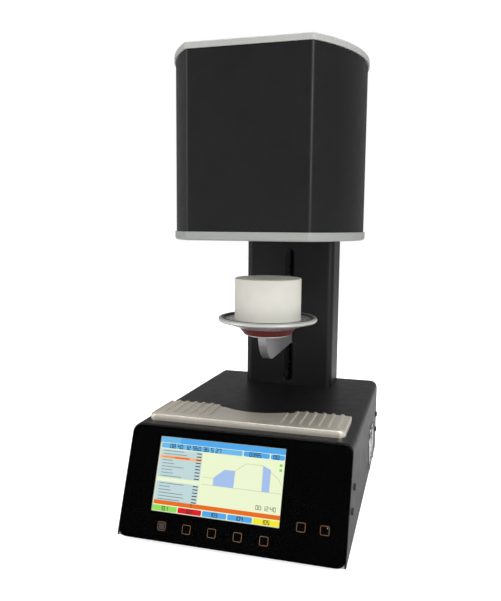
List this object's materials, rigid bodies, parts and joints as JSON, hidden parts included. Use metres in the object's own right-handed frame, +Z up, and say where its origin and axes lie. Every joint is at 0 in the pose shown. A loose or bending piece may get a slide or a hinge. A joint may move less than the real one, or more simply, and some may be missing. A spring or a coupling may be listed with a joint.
{
  "type": "dental porcelain furnace",
  "caption": "Bench furnace with a round pedestal on a screw-driven lift, a heated vacuum head on a column, a slanted glass control panel and a ribbed cooling tray.",
  "frame": {"origin": "middle of the outline on the surface that the feet stand on", "axes": "+Z up, +Y to the back, +X to the right seen from the front"},
  "size_m": [0.2752, 0.4164, 0.585],
  "materials": {
    "black_paint": "fine textured satin",
    "pale_rim": "matte",
    "tray_aluminium": "brushed and anodised",
    "arm_aluminium": "milled",
    "steel": "brushed",
    "bright_steel": "polished",
    "zinc_steel": "zinc plated",
    "black_screws": "black oxide",
    "black_glass": "gloss",
    "glass_print": "printed",
    "screen": "lit",
    "black_plastic": "moulded",
    "board_green": "solder mask",
    "brass": "machined",
    "copper": "lacquered wire",
    "refractory": "fine grained ceramic",
    "fibre": "pressed fibre",
    "quartz": "clear",
    "coil_wire": "oxidised",
    "red_silicone": "matte",
    "dark_silicone": "matte",
    "rubber": "matte",
    "rocker": "moulded"
  },
  "bodies": {
    "furnace": {"base_cover": "black_paint", "base_chassis": "zinc_steel", "rear_panel": "black_paint", "feet": "rubber", "housing_screws": "black_screws", "front_glass": "black_glass", "glass_print": "glass_print", "display_frame": "steel", "display_screen": "screen", "panel_carrier": "black_plastic", "circuit_boards": "board_green", "board_spacers": "brass", "cooling_tray": "tray_aluminium", "column_shell": "black_paint", "column_back": "black_paint", "column_cap": "black_paint", "spine": "arm_aluminium", "drive_blocks": "arm_aluminium", "screw_bearings": "bright_steel", "guide_rods": "bright_steel", "limit_sensors": "black_plastic", "motor_plate": "zinc_steel", "lift_motor": "black_plastic", "head_bottom_plate": "pale_rim", "head_shell": "black_paint", "head_top_plate": "pale_rim", "head_bracket": "zinc_steel", "head_mount": "arm_aluminium", "chamber_bolts": "black_screws", "mouth_ring": "steel", "muffle_tube": "quartz", "heating_coil": "coil_wire", "insulation": "fibre", "pot_gasket": "red_silicone", "vacuum_pot": "steel", "chamber_fittings": "refractory", "toroid": "copper", "toroid_clamp": "zinc_steel", "fan_frame": "black_plastic", "fan_guard": "bright_steel", "mains_connectors": "black_plastic", "switch_frame": "black_plastic", "fuse_holders": "black_plastic", "vacuum_nipple": "brass", "vacuum_valve": "brass"},
    "lift": {"carriage": "arm_aluminium", "carriage_bushes": "brass", "lead_nut": "brass", "lift_arm": "arm_aluminium", "lift_screws": "black_screws", "support_disc": "steel", "insulating_disc": "red_silicone", "lift_plate": "steel", "plate_seal": "dark_silicone", "pedestal": "refractory"},
    "screw": {"lead_screw": "bright_steel", "motor_coupling": "arm_aluminium"},
    "fan_wheel": {"fan_rotor": "black_plastic"},
    "rocker": {"switch_rocker": "rocker"}
  },
  "joints": [
    {"name": "lift_travel", "type": "slide", "parent": "furnace", "child": "lift", "axis": [0, 0, 1], "range_m": [-0.059, 0.1042]},
    {"name": "screw_turn", "type": "hinge", "parent": "furnace", "child": "screw", "pos_m": [0, 0.15143, 0.096], "axis": [0, 0, 1], "continuous": true},
    {"name": "fan_spin", "type": "hinge", "parent": "furnace", "child": "fan_wheel", "pos_m": [0.133, 0.08933, 0.046], "axis": [1, 0, 0], "continuous": true},
    {"name": "mains_switch", "type": "hinge", "parent": "furnace", "child": "rocker", "pos_m": [0.106, 0.18883, 0.086], "axis": [1, 0, 0], "range_deg": [0, 16]}
  ],
  "couplings": [
    {"joint": "screw_turn", "follows": "lift_travel", "rad_per_m": 1256.6}
  ]
}
